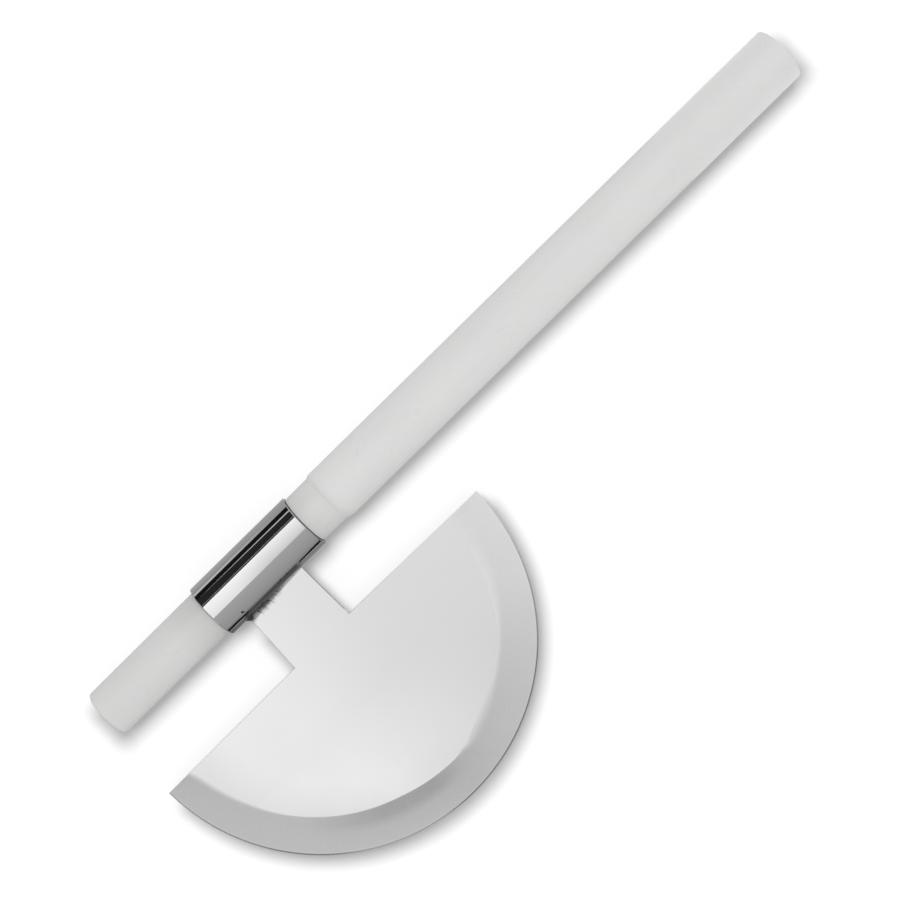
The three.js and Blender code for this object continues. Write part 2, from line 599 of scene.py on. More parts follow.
@dataclass(frozen=True)
class TurnedPlastic(Finish):
    """Satin white plastic, turned on a lathe: faint rings, scuffs, handling soil and soil towards the tube's
    mouths; darker on the neck and stub; painted shade in the shoulder's crease and a painted shadow, with
    grime, at the mouths.
    """

    name = "turned_white_plastic"
    constants = {"Specular IOR Level": 0.4, "Subsurface Weight": 0.12, "Subsurface Scale": 0.002}
    colour: Colour = (0.722, 0.722, 0.717)
    soiled_and_shaded: Colour = (0.585, 0.585, 0.575)
    scuffed: Colour = (0.45, 0.45, 0.44)
    gap_shadow_and_grime: Colour = (0.05, 0.05, 0.045)
    rough: Pair = (0.40, 0.52)
    ring_pitch: float = 0.9
    ring_depth: float = 0.02 * MM
    ring_strength: float = 0.5
    mark_stretch: tuple[float, float, float] = (0.3, 1.0, 1.0)
    mark_size: float = 14.0
    mark_soil: float = 0.12
    scuff_spacing: float = 9.0
    scuff_share: float = 0.2
    shoulder: Pair = (15.8, 20.5)
    neck_darkening: float = 0.35
    corner: float = 16.1
    corner_width: Pair = (0.6, 0.1)
    corner_sides: Pair = (11.0, 5.0)
    crease_shade: float = 0.3
    stub_soil: Pair = (22.0, 0.72)
    grip_soil: Pair = (10.0, 0.4)
    mouth_shadow: float = 0.6
    mouth_shadow_shares: Pair = (0.35, 0.95)

    def vary(self, nodes: Nodes, place: Socket) -> dict[str, Socket]:
        """Lay the marks over the plastic.

        Args:
            nodes: the material's nodes.
            place: where a point lies in the tool's axes, in millimetres.

        Returns:
            Base colour, roughness and normal.
        """
        tube_start, tube_end = self.layout.tube_start / MM, self.layout.tube_end / MM
        tube_middle = (tube_start + tube_end) / 2
        x, y, z = nodes.split(place)
        ring_place = nodes.join(0.0, nodes.plus(x, nodes.reach(y, z)))
        rings = GROUND_LINES.put(nodes, ring_place, 1.0, self.ring_pitch)
        marks = HANDLING_MARKS.put(nodes, nodes.scale(place, self.mark_stretch), self.mark_size)
        scuffs = FINE_SCRATCHES.put(nodes, place, self.scuff_spacing)
        skew = nodes.spread(x, tube_middle, tube_end, 0.0, self.layout.mouth_skew)
        squared = nodes.plus(x, nodes.times(z, skew))
        outside = nodes.math("ABSOLUTE", nodes.minus(squared, tube_middle))
        outside = nodes.minus(outside, (tube_end - tube_start) / 2)
        neck_end, grip_start = (tube_end + away for away in self.shoulder)
        # Darker over the neck and the stub.
        soil_and_shade = nodes.spread(x, grip_start, neck_end, 0.0, self.neck_darkening)
        soils = zip(self.stub_soil, self.grip_soil)
        reach, depth = (nodes.spread(x, tube_start, tube_end, *pair) for pair in soils)
        soil_and_shade = nodes.plus(soil_and_shade, nodes.spread(outside, reach, 0.0, 0.0, depth))
        # Painted shade: a thin dark line in the shoulder's crease, where the handle faces up and down.
        from_corner = nodes.math("ABSOLUTE", nodes.minus(x, tube_end + self.corner))
        line = nodes.spread(nodes.math("ABSOLUTE", y), *self.corner_sides, 0.0, self.crease_shade)
        soil_and_shade = nodes.plus(soil_and_shade, nodes.spread(from_corner, *self.corner_width, 0.0, line))
        soil_and_shade = nodes.plus(soil_and_shade, nodes.times(marks, self.mark_soil))
        colour = nodes.blend(soil_and_shade, tinted(self.colour), tinted(self.soiled_and_shaded))
        colour = nodes.blend(nodes.times(scuffs, self.scuff_share), colour, tinted(self.scuffed))
        # Painted shadow, with grime: a thin dark ring on the neck at each of the tube's mouths, darkest at
        # the grip's mouth.
        mouth_shadow = nodes.spread(outside, self.mouth_shadow, self.mouth_shadow / 3)
        mouth_shadow = nodes.times(mouth_shadow, nodes.spread(x, tube_start, tube_end, *self.mouth_shadow_shares))
        colour = nodes.blend(mouth_shadow, colour, tinted(self.gap_shadow_and_grime))
        rough = nodes.spread(marks, 0.0, 1.0, *self.rough)
        normal = nodes.bump(rings, self.ring_depth, self.ring_strength)
        return {"Base Color": colour, "Roughness": rough, "Normal": normal}


@dataclass(frozen=True)
class PolishedTube(Finish):
    """Mirror-polished steel with wiping marks and hairlines; beside the weld its blade-side flank is a
    little rougher and painted dark, a painted reflection of the shade under the blade.
    """

    name = "polished_tube_steel"
    constants = {"Metallic": 1.0}
    colour: Colour = (0.56, 0.56, 0.56)
    painted_dark_reflection: Colour = (0.15, 0.15, 0.147)
    rough: Pair = (0.035, 0.07)
    mark_size: float = 9.0
    hairline_spacing: float = 6.0
    hairline_rough: float = 0.08
    hairline_depth: float = 0.002 * MM
    hairline_strength: float = 0.3
    painted_flank_ends: Four = (-19.5, -16.5, 18.5, 21.5)
    painted_flank_border: Pair = (11.3, 12.1)
    dull_rough: float = 0.06

    def vary(self, nodes: Nodes, place: Socket) -> dict[str, Socket]:
        """Lay the marks over the polish.

        Args:
            nodes: the material's nodes.
            place: where a point lies in the tool's axes, in millimetres.

        Returns:
            Base colour, roughness and normal.
        """
        marks = HANDLING_MARKS.put(nodes, place, self.mark_size)
        x, y, z = nodes.split(place)
        round_tube = nodes.times(nodes.math("ARCTAN2", y, z), self.layout.tube_radius / MM)
        hairlines = FINE_SCRATCHES.put(nodes, nodes.join(x, round_tube), self.hairline_spacing)
        # Painted reflection: the flank beside the weld is painted dark, for the shade under the blade that
        # it would mirror.
        painted_flank = nodes.spread(nodes.times(y, -1.0), *self.painted_flank_border)
        painted_flank = nodes.times(painted_flank, nodes.between(x, self.painted_flank_ends))
        colour = nodes.blend(painted_flank, tinted(self.colour), tinted(self.painted_dark_reflection))
        rough = nodes.spread(marks, 0.0, 1.0, *self.rough)
        rough = nodes.plus(rough, nodes.times(hairlines, self.hairline_rough))
        rough = nodes.plus(rough, nodes.times(painted_flank, self.dull_rough))
        normal = nodes.bump(hairlines, self.hairline_depth, self.hairline_strength)
        return {"Base Color": colour, "Roughness": rough, "Normal": normal}


@dataclass(frozen=True)
class GroundFlat(Finish):
    """Satin-ground blade steel: lines along the chord, a buffed side, a darker rim, burns at the weld."""

    arc_centre: float
    name = "ground_flat_steel"
    constants = {"Metallic": 1.0}
    colour: Colour = (0.622, 0.622, 0.622)
    lined: Colour = (0.607, 0.607, 0.607)
    rough: Pair = (0.13, 0.15)
    line_size: Pair = (45.0, 0.7)
    line_depth: float = 0.003 * MM
    line_strength: float = 0.15
    mark_size: float = 40.0
    mark_rough: float = 0.03
    hairline_spacing: float = 14.0
    hairline_height: float = -0.6
    buffed: Colour = (0.682, 0.682, 0.682)
    buff_reach: Pair = (-85.0, -135.0)
    buff_ends: Pair = (65.0, 20.0)
    rim: Colour = (0.573, 0.573, 0.573)
    rim_reach: Pair = (70.0, 89.0)
    rim_ends: Pair = (-20.0, -60.0)
    burnt: Colour = (0.14, 0.14, 0.137)
    burnt_rough: float = 0.2
    streak_reach: Pair = WeldStreaks.REACH

    def vary(self, nodes: Nodes, place: Socket) -> dict[str, Socket]:
        """Lay lines, hairlines and burns over the steel.

        Args:
            nodes: the material's nodes.
            place: where a point lies in the tool's axes, in millimetres.

        Returns:
            Base colour, roughness and normal.
        """
        lines = GROUND_LINES.put(nodes, place, *self.line_size)
        marks = HANDLING_MARKS.put(nodes, place, self.mark_size)
        hairlines = FINE_SCRATCHES.put(nodes, place, self.hairline_spacing)
        clean = WELD_STREAKS.put(nodes, place, *self.streak_reach)
        x, y, _ = nodes.split(place)
        colour = nodes.blend(lines, tinted(self.colour), tinted(self.lined))
        buff = nodes.times(nodes.spread(y, *self.buff_reach), nodes.spread(x, *self.buff_ends))
        colour = nodes.blend(buff, colour, tinted(self.buffed))
        radius = nodes.reach(x, nodes.plus(y, self.arc_centre))
        rim = nodes.times(nodes.spread(radius, *self.rim_reach), nodes.spread(x, *self.rim_ends))
        colour = nodes.blend(rim, colour, tinted(self.rim))
        colour = nodes.blend(clean, tinted(self.burnt), colour)
        rough = nodes.spread(lines, 0.0, 1.0, *self.rough)
        rough = nodes.plus(rough, nodes.times(marks, self.mark_rough))
        rough = nodes.plus(rough, nodes.spread(clean, 0.0, 1.0, self.burnt_rough, 0.0))
        height = nodes.plus(lines, nodes.times(hairlines, self.hairline_height))
        normal = nodes.bump(height, self.line_depth, self.line_strength)
        return {"Base Color": colour, "Roughness": rough, "Normal": normal}


@dataclass(frozen=True)
class GroundChord(Finish):
    """The straight edge of the plate, ground, its steel painted far brighter than the plate's as a painted
    highlight on the wall.
    """

    name = "chord_steel_painted_bright"
    constants = {"Metallic": 1.0}
    # Painted highlight: far brighter than the plate's steel, so that the thin wall looks lit.
    colour: Colour = (0.88, 0.88, 0.88)
    lined: Colour = (0.80, 0.80, 0.80)
    rough: Pair = (0.22, 0.3)
    line_size: Pair = (20.0, 0.5)

    def vary(self, nodes: Nodes, place: Socket) -> dict[str, Socket]:
        """Lay the belt's lines along the edge.

        Args:
            nodes: the material's nodes.
            place: where a point lies in the tool's axes, in millimetres.

        Returns:
            Base colour and roughness.
        """
        lines = GROUND_LINES.put(nodes, place, *self.line_size)
        colour = nodes.blend(lines, tinted(self.colour), tinted(self.lined))
        return {"Base Color": colour, "Roughness": nodes.spread(lines, 0.0, 1.0, *self.rough)}


@dataclass(frozen=True)
class GroundBevel(Finish):
    """The ground edge: wheel lines across the bevel, brighter where the second pass went over it, and a
    painted dark reflection along the cutting edge.

    The ends are degrees from the middle of the arc.
    """

    arc_centre: float
    edge_width: float
    name = "ground_bevel_steel"
    constants = {"Metallic": 1.0}
    colour: Colour = (0.632, 0.632, 0.632)
    lined: Colour = (0.617, 0.617, 0.617)
    rough: Pair = (0.25, 0.27)
    line_size: Pair = (30.0, 2.4)
    mark_size: float = 12.0
    mark_rough: float = 0.03
    shaded: Colour = (0.515, 0.515, 0.515)
    shade_inset: Pair = (10.0, 15.0)
    shade_ends: Four = (-52.0, -25.0, -6.0, 4.0)
    second_pass: Colour = (0.68, 0.68, 0.68)
    second_ends: Four = (2.0, 14.0, 62.0, 92.0)
    honed: Colour = (0.76, 0.76, 0.76)
    honed_widths: Pair = (2.5, 1.2)
    honed_share: float = 0.4
    edge: Colour = (0.33, 0.33, 0.33)
    edge_ends: Four = (-110.0, -55.0, 40.0, 88.0)
    edge_gap: Four = (-43.0, -32.0, -13.0, -2.0)
    gap_share: float = 0.25

    def vary(self, nodes: Nodes, place: Socket) -> dict[str, Socket]:
        """Lay the wheel's lines, the honed edge and a painted dark reflection at the cutting edge over the
        steel.

        Args:
            nodes: the material's nodes.
            place: where a point lies in the tool's axes, in millimetres.

        Returns:
            Base colour and roughness.
        """
        x, y, z = nodes.split(place)
        down = nodes.minus(nodes.times(y, -1.0), self.arc_centre)
        radius = nodes.reach(x, down)
        turn = nodes.math("ARCTAN2", x, down)
        degrees = nodes.math("DEGREES", turn)
        edge_radius = self.layout.blade_radius / MM
        wheel_place = nodes.join(radius, nodes.times(turn, edge_radius), z)
        lines = GROUND_LINES.put(nodes, wheel_place, *self.line_size)
        marks = HANDLING_MARKS.put(nodes, wheel_place, self.mark_size)
        inset = nodes.minus(edge_radius, radius)
        colour = nodes.blend(lines, tinted(self.colour), tinted(self.lined))
        shade = nodes.times(nodes.spread(inset, *self.shade_inset), nodes.between(degrees, self.shade_ends))
        colour = nodes.blend(shade, colour, tinted(self.shaded))
        colour = nodes.blend(nodes.between(degrees, self.second_ends), colour, tinted(self.second_pass))
        honed_from, honed_to = (widths * self.edge_width for widths in self.honed_widths)
        honed = nodes.spread(inset, honed_from, honed_to, 0.0, self.honed_share)
        colour = nodes.blend(honed, colour, tinted(self.honed))
        # Painted reflection: the strip at the cutting edge is painted dark, fainter over part of the stub's
        # half and fading out towards the grip's tip.
        edge = nodes.spread(inset, honed_to, self.edge_width)
        edge = nodes.times(edge, nodes.between(degrees, self.edge_ends))
        kept = nodes.spread(nodes.between(degrees, self.edge_gap), 0.0, 1.0, 1.0, self.gap_share)
        colour = nodes.blend(nodes.times(edge, kept), colour, tinted(self.edge))
        rough = nodes.spread(lines, 0.0, 1.0, *self.rough)
        rough = nodes.plus(rough, nodes.times(marks, self.mark_rough))
        return {"Base Color": colour, "Roughness": rough}


@dataclass(frozen=True)
class WeldMetal(Finish):
    """Weld metal, ground clean towards the blade in streaks and left dark in the corner beside the tube; the
    clean metal's colour is set far brighter than steel, a partly painted sheen.
    """

    name = "streaked_weld_metal"
    constants = {"Metallic": 1.0}
    dark: Colour = (0.05, 0.05, 0.049)
    scorched: Colour = (0.21, 0.21, 0.206)
    # Partly painted sheen: ground clean metal, set far brighter than the plate's steel so that the hollow
    # fillet looks lit.
    clean: Colour = (0.95, 0.95, 0.95)
    rough: Pair = (0.45, 0.2)
    streak_reach: Pair = WeldStreaks.REACH
    scale_lumps: float = 0.9
    scale_contrast: Pair = (0.4, 0.62)
    grain_lumps: float = 2.0
    grain_detail: float = 4.0
    grain_rough: float = 0.6
    grain_until: float = 0.6
    grain_depth: float = 0.04 * MM
    grain_strength: float = 0.5

    def vary(self, nodes: Nodes, place: Socket) -> dict[str, Socket]:
        """Let the ground metal come through in streaks.

        Args:
            nodes: the material's nodes.
            place: where a point lies in the tool's axes, in millimetres.

        Returns:
            Base colour, roughness and normal.
        """
        clean = WELD_STREAKS.put(nodes, place, *self.streak_reach)
        scale = nodes.spread(nodes.noise(place, self.scale_lumps), *self.scale_contrast)
        colour = nodes.blend(scale, tinted(self.dark), tinted(self.scorched))
        colour = nodes.blend(clean, colour, tinted(self.clean))
        rough = nodes.spread(clean, 0.0, 1.0, *self.rough)
        grain = nodes.noise(place, self.grain_lumps, detail=self.grain_detail, rough=self.grain_rough)
        height = nodes.times(grain, nodes.spread(clean, 0.0, self.grain_until, 1.0, 0.0))
        normal = nodes.bump(height, self.grain_depth, self.grain_strength)
        return {"Base Color": colour, "Roughness": rough, "Normal": normal}


def quarter_round(centre: Pair, radius: float, start: float, end: float, steps: int = 8) -> Profile:
    """Points of a rounded edge of a turned profile.

    Args:
        centre: place along the axis and radius of the round's centre.
        radius: the round's own radius.
        start: angle of its first point, in degrees from the outward direction towards the grip.
        end: angle of its last point.
        steps: how many chords it has.

    Returns:
        Pairs of a place along the axis and a radius.
    """
    points = []
    for i in range(steps + 1):
        angle = math.radians(start + (end - start) * i / steps)
        points.append((centre[0] + radius * math.sin(angle), centre[1] + radius * math.cos(angle)))
    return points


def turned(name: str, profile: Profile, steps: int, ring: bool = False) -> bpy.types.Mesh:
    """Turn a profile about the handle's axis.

    Args:
        name: the mesh's name.
        profile: pairs of a place along the axis and a radius; a radius of 0 is a point on the axis.
        steps: how many facets go round.
        ring: whether the last pair joins the first one.

    Returns:
        The closed mesh, in the tool's axes.
    """
    grid = bmesh.new()
    angles = [2.0 * math.pi * i / steps for i in range(steps)]
    rings = []
    for place, radius in profile:
        if radius == 0.0:
            rings.append([grid.verts.new((place, 0.0, 0.0))] * steps)
        else:
            spots = [(place, radius * math.cos(angle), radius * math.sin(angle)) for angle in angles]
            rings.append([grid.verts.new(spot) for spot in spots])
    pairs = list(zip(rings, rings[1:]))
    if ring:
        pairs.append((rings[-1], rings[0]))
    for near, far in pairs:
        for i in range(steps):
            j = (i + 1) % steps
            grid.faces.new(dict.fromkeys((near[i], near[j], far[j], far[i])))
    return closed_mesh(name, grid)


def closed_mesh(name: str, grid: bmesh.types.BMesh) -> bpy.types.Mesh:
    """Turn a finished bmesh into a mesh with its faces out and free the bmesh.

    Args:
        name: the mesh's name.
        grid: the bmesh.

    Returns:
        The mesh.
    """
    bmesh.ops.recalc_face_normals(grid, faces=grid.faces)
    mesh = bpy.data.meshes.new(name)
    grid.to_mesh(mesh)
    grid.free()
    return mesh


def smooth(mesh: bpy.types.Mesh, sharp_angle: float) -> None:
    """Shade a mesh smooth, apart from its sharp edges.

    Args:
        mesh: the mesh.
        sharp_angle: edges that turn by more than this stay sharp, in degrees.
    """
    mesh.shade_smooth()
    mesh.set_sharp_from_angle(angle=math.radians(sharp_angle))


def settle(name: str, node: str, mesh: bpy.types.Mesh, layout: Layout) -> bpy.types.Object:
    """Lay a mesh that was modelled in the tool's axes where its solid lies, and let it stand for that solid.

    Args:
        name: the piece's name.
        node: the solid's node.
        mesh: the mesh, in the tool's axes.
        layout: the tool's layout.

    Returns:
        The piece.
    """
    mesh.transform(layout.axes())
    piece = bpy.data.objects.new(name, mesh)
    bpy.context.scene.collection.objects.link(piece)
    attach(piece, BODY)
    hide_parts(node)
    return piece


class SubAssembly(ABC):
    """A part of the tool that builds and dresses its own pieces."""

    @abstractmethod
    def build(self) -> list[bpy.types.Object]:
        """Build and dress the pieces.

        Returns:
            The pieces.
        """


@dataclass
class Handle(SubAssembly):
    """The turned handle: stub, tapered neck in the tube, shoulder and grip."""

    layout: Layout
    tube: "SocketTube"
    clearance: float = 0.1 * MM
    taper: float = 0.008
    neck_length: float = 15.0 * MM
    shoulder_length: float = 4.3 * MM
    shoulder_lean: float = 0.44
    shoulder_haste: float = 0.75
    swell: float = 0.33 * MM
    swell_start: float = 1.8 * MM
    stub_edge: float = 1.5 * MM
    grip_edge: float = 0.35 * MM
    sharp_angle: float = 15.0
    steps: int = 160
    shoulder_steps: int = 16

    def neck_radius(self, place: float) -> float:
        """Radius of the tapered neck at a place along the handle."""
        return self.tube.bore - self.clearance + (place - self.layout.tube_end) * self.taper / 2

    def profile(self) -> Profile:
        """The turned profile from the stub's end to the grip's end.

        Returns:
            Pairs of a place along the axis and a radius.
        """
        layout = self.layout
        shoulder = layout.tube_end + self.neck_length
        stub_round = (layout.stub_end + self.stub_edge, self.neck_radius(layout.stub_end) - self.stub_edge)
        grip_round = (layout.grip_end - self.grip_edge, layout.grip_radius - self.grip_edge)
        points: Profile = [(layout.stub_end, 0.0)]
        points += quarter_round(stub_round, self.stub_edge, -90.0, 0.0)
        bare = layout.tube_end + self.swell_start
        points += [(place, self.neck_radius(place)) for place in (layout.tube_start, layout.tube_end, bare)]
        start = self.neck_radius(shoulder)
        for i in range(self.shoulder_steps + 1):
            share = i / self.shoulder_steps
            rise = ease(share**self.shoulder_haste, 0.0, 1.0)
            place = shoulder + self.shoulder_length * share
            points.append((place, start + (layout.grip_radius - start) * rise))
        points += quarter_round(grip_round, self.grip_edge, 0.0, 90.0)
        points.append((layout.grip_end, 0.0))
        return points

    def lean(self, mesh: bpy.types.Mesh) -> None:
        """Draw the shoulder out on the blade's side, and swell the bare neck on the other side.

        Args:
            mesh: the turned handle, in the tool's axes.
        """
        bare = self.layout.tube_end + self.swell_start / 2
        shoulder = self.layout.tube_end + self.neck_length
        for vertex in mesh.vertices:
            past = vertex.co.x - shoulder
            if vertex.co.x < bare or past > self.shoulder_length + self.swell_start:
                continue
            away = vertex.co.y / self.layout.grip_radius
            rise = min(max(past / self.shoulder_length, 0.0), 1.0)
            vertex.co.x += max(past, 0.0) * -self.shoulder_lean * away
            vertex.co.y += self.swell * max(away, 0.0) * (1.0 - rise)

    def build(self) -> list[bpy.types.Object]:
        """Turn and dress the handle.

        Returns:
            The handle alone.
        """
        mesh = turned("turned_handle", self.profile(), self.steps)
        self.lean(mesh)
        smooth(mesh, self.sharp_angle)
        mesh.materials.append(TurnedPlastic(self.layout).material())
        return [settle("turned_handle", "handle", mesh, self.layout)]


@dataclass
class SocketTube(SubAssembly):
    """The polished tube that the handle is driven through."""

    layout: Layout
    wall: float = 1.5 * MM
    lip: float = 0.5 * MM
    sharp_angle: float = 25.0
    steps: int = 256

    @property
    def bore(self) -> float:
        """Radius of the tube's bore."""
        return self.layout.tube_radius - self.wall

    def profile(self) -> Profile:
        """The tube's wall, with its outer lips rounded.

        Returns:
            Pairs of a place along the axis and a radius, round the wall.
        """
        layout = self.layout
        lip_radius = layout.tube_radius - self.lip
        points: Profile = [(layout.tube_start, self.bore)]
        points += quarter_round((layout.tube_start + self.lip, lip_radius), self.lip, -90.0, 0.0)
        points += quarter_round((layout.tube_end - self.lip, lip_radius), self.lip, 0.0, 90.0)
        points.append((layout.tube_end, self.bore))
        return points

    def build(self) -> list[bpy.types.Object]:
        """Turn the tube, cut its mouth on the grip's side askew and dress it.

        Returns:
            The tube alone.
        """
        mesh = turned("polished_tube", self.profile(), self.steps, ring=True)
        for vertex in mesh.vertices:
            if vertex.co.x > 0.0:
                vertex.co.x -= self.layout.mouth_skew * vertex.co.z
        smooth(mesh, self.sharp_angle)
        mesh.materials.append(PolishedTube(self.layout).material())
        return [settle("polished_tube", "socket_tube", mesh, self.layout)]


@dataclass
class Blade(SubAssembly):
    """The half-moon plate with its tang, ground on both faces in two passes that meet near the middle."""

    layout: Layout
    thickness: float = 3.0 * MM
    chord: float = 50.1 * MM
    chord_rise: Pair = (0.5 * MM, 0.95 * MM)
    arc_centre: float = 51.1 * MM
    tang_root: Pair = (-17.0 * MM, 19.3 * MM)
    tang_foot: Pair = (-18.7 * MM, 19.45 * MM)
    tang_sink: float = 0.4 * MM
    corner_round: float = 0.14 * MM
    bevel_width: float = 21.1 * MM
    bevel_tip_width: float = 13.7 * MM
    hollow: Pair = (0.05 * MM, 0.14 * MM)
    hollow_middle: float = -14.0
    hollow_spread: float = 26.0
    edge_thickness: float = 0.6 * MM
    edge_width: float = 0.7 * MM
    edge_land: float = 0.2 * MM
    meet_angle: float = 9.0
    meet_grip_step: float = 3.4 * MM
    meet_grip_fade: float = 12.0
    meet_stub_step: float = 2.2 * MM
    meet_stub_fade: float = 27.0
    meet_blend: float = 2.0
    shoulder_widths: tuple[Pair, ...] = (
        (-85.0, 3.0 * MM), (-55.0, 0.5 * MM), (4.0, 0.5 * MM), (13.0, 5.0 * MM), (22.0, 5.5 * MM),
        (38.0, 2.5 * MM), (52.0, 2.5 * MM), (66.0, 6.0 * MM), (78.0, 8.0 * MM))
    sharp_angle: float = 6.0
    slack: float = 1e-7
    arc_steps: int = 300
    hollow_steps: int = 10
    shoulder_steps: int = 6

    def ground_width(self, angle: float) -> float:
        """Width of the bevel, narrow at the tips and where the two grinding passes meet.

        Args:
            angle: degrees from the middle of the arc, positive towards the grip.

        Returns:
            The distance from the cutting edge to the bevel's shoulder.
        """
        share = math.sqrt(max(math.cos(math.radians(angle)), 0.0))
        width = self.bevel_tip_width + (self.bevel_width - self.bevel_tip_width) * share
        past = angle - self.meet_angle
        grip_side = self.meet_grip_step * math.exp(-max(past, 0.0) / self.meet_grip_fade)
        stub_side = self.meet_stub_step * max(1.0 + min(past, 0.0) / self.meet_stub_fade, 0.0)
        side = ease(past, -self.meet_blend, self.meet_blend)
        return width - stub_side * (1.0 - side) - grip_side * side

    def shoulder_width(self, angle: float) -> float:
        """How far the bevel's shoulder is rounded over: soft on the grip's side and at the far tip.

        Args:
            angle: degrees from the middle of the arc, positive towards the grip.

        Returns:
            The width of the rounded strip.
        """
        return read_off(self.shoulder_widths, angle)

    def hollow_depth(self, angle: float) -> float:
        """How hollow the bevel is ground at an angle round the arc."""
        share = math.exp(-((angle - self.hollow_middle) / self.hollow_spread) ** 2)
        return self.hollow[0] + (self.hollow[1] - self.hollow[0]) * share

    def section(self, angle: float) -> Profile:
        """The ground section at an angle round the arc, from the cutting edge to the flat.

        Args:
            angle: degrees from the middle of the arc, positive towards the grip.

        Returns:
            Pairs of a distance from the cutting edge and a height over the plate's middle plane.
        """
        width = self.ground_width(angle)
        soft = self.shoulder_width(angle)
        hollow = self.hollow_depth(angle)
        ground = width - soft / 2
        rise = (self.thickness - self.edge_thickness) / 2
        ground_span = width - self.edge_width
        places = [self.edge_width + (ground - self.edge_width) * i / self.hollow_steps
                  for i in range(self.hollow_steps + 1)]
        places += [ground + soft * (i + 1) / self.shoulder_steps for i in range(self.shoulder_steps)]

        def slope(place: float) -> float:
            """Slope of the hollow bevel, easing to none over its shoulder.

            Args:
                place: distance from the cutting edge.

            Returns:
                The slope, before it is stretched to the plate's thickness.
            """
            share = (min(place, ground) - self.edge_width) / ground_span
            level = min(max((width + soft / 2 - place) / soft, 0.0), 1.0)
            return (rise - 4.0 * hollow + 8.0 * hollow * share) / ground_span * level

        heights = [0.0]
        for near, far in zip(places, places[1:]):
            heights.append(heights[-1] + (slope(near) + slope(far)) / 2 * (far - near))
        stretch = rise / heights[-1]
        edge = self.edge_thickness / 2
        points = [(0.0, self.edge_land / 2)]
        points += [(place, edge + height * stretch) for place, height in zip(places, heights)]
        return points

    def arc_point(self, share: float, inset: float, height: float) -> Vector:
        """A point of the ground edge.

        Args:
            share: how far round the arc, from -1 at the stub's tip to 1 at the grip's tip.
            inset: distance from the cutting edge.
            height: height over the plate's middle plane.

        Returns:
            The point; at the tips it lies on the chord.
        """
        radius = self.layout.blade_radius - inset
        angle = share * math.acos((self.chord - self.arc_centre) / radius)
        return Vector((radius * math.sin(angle), -self.arc_centre - radius * math.cos(angle), height))

    def tang_corners(self) -> list[Vector]:
        """Corners of the tang on the upper cheek.

        Returns:
            The corners, from the grip's side of the chord round the root to the stub's side.
        """
        sunk = self.layout.tube_radius - self.tang_sink
        root, foot = self.tang_root, self.tang_foot
        stub_side, grip_side = (rise - self.chord for rise in self.chord_rise)
        plan = ((foot[1], grip_side), (root[1], -sunk), (root[0], -sunk), (foot[0], stub_side))
        return [Vector((x, y, self.thickness / 2)) for x, y in plan]

    def mesh(self) -> bpy.types.Mesh:
        """Build the plate: two flats, two ground strips, the edge's land, and walls along chord and tang.

        Returns:
            The closed mesh, in the tool's axes. Its second material is the bevel's, its third the chord's.
        """
        shares = [2.0 * i / self.arc_steps - 1.0 for i in range(self.arc_steps + 1)]
        tip = math.degrees(math.acos((self.chord - self.arc_centre) / self.layout.blade_radius))
        rows = [[self.arc_point(share, *pair) for pair in self.section(share * tip)] for share in shares]
        grid = bmesh.new()
        cheeks = []
        for cheek in Cheek:
            lift = Vector((1.0, 1.0, cheek.value))
            ground = [[grid.verts.new(point * lift) for point in row] for row in rows]
            tang = [grid.verts.new(point * lift) for point in self.tang_corners()]
            for near, far in zip(ground, ground[1:]):
                for i in range(len(near) - 1):
                    strip = grid.faces.new((near[i], near[i + 1], far[i + 1], far[i]))
                    strip.material_index = 1
                    strip.smooth = True
            grid.faces.new([row[-1] for row in ground] + tang)
            cheeks.append((ground, tang))

        land = [[row[0] for row in ground] for ground, _ in cheeks]
        chord = [[*ground[0], *reversed(tang), *reversed(ground[-1])] for ground, tang in cheeks]
        rim = []
        for above, below in (land, chord):
            for i in range(len(above) - 1):
                wall = grid.faces.new((above[i], above[i + 1], below[i + 1], below[i]))
                rim += [edge for edge in wall.edges if self.is_rim(edge)]
                if self.on_chord(wall):
                    wall.material_index = 2
        bmesh.ops.recalc_face_normals(grid, faces=grid.faces)
        bmesh.ops.bevel(
            grid, geom=list(set(rim)), offset=self.corner_round, segments=2, profile=0.5, affect="EDGES"
        )
        return closed_mesh("ground_blade", grid)

    def is_rim(self, edge: bmesh.types.BMEdge) -> bool:
        """Whether an edge borders a flat along the tang.

        Args:
            edge: the edge.

        Returns:
            Whether it lies level on one cheek, and not on the chord.
        """
        full = self.thickness / 2
        level = all(math.isclose(abs(vert.co.z), full, abs_tol=self.slack) for vert in edge.verts)
        across = edge.verts[0].co.z * edge.verts[1].co.z < 0.0
        return level and not across and not self.on_chord(edge)

    def on_chord(self, part: Union[bmesh.types.BMEdge, bmesh.types.BMFace]) -> bool:
        """Whether an edge or a face lies on the chord."""
        top = max(self.chord_rise) + self.slack
        return all(-self.slack < vert.co.y + self.chord < top for vert in part.verts)

    def build(self) -> list[bpy.types.Object]:
        """Build and dress the blade.

        Returns:
            The blade alone.
        """
        mesh = self.mesh()
        mesh.set_sharp_from_angle(angle=math.radians(self.sharp_angle))
        arc_centre = self.arc_centre / MM
        bevel = GroundBevel(self.layout, arc_centre, self.edge_width / MM)
        for finish in (GroundFlat(self.layout, arc_centre), bevel, GroundChord(self.layout)):
            mesh.materials.append(finish.material())
        return [settle("ground_blade", "blade", mesh, self.layout)]


@dataclass(frozen=True)
class Drop:
    """A drop of spatter on the tube: its place along the handle, angle from the top, turn and size."""

    place: float
    angle: float
    turn: float
    size: tuple[float, float, float]


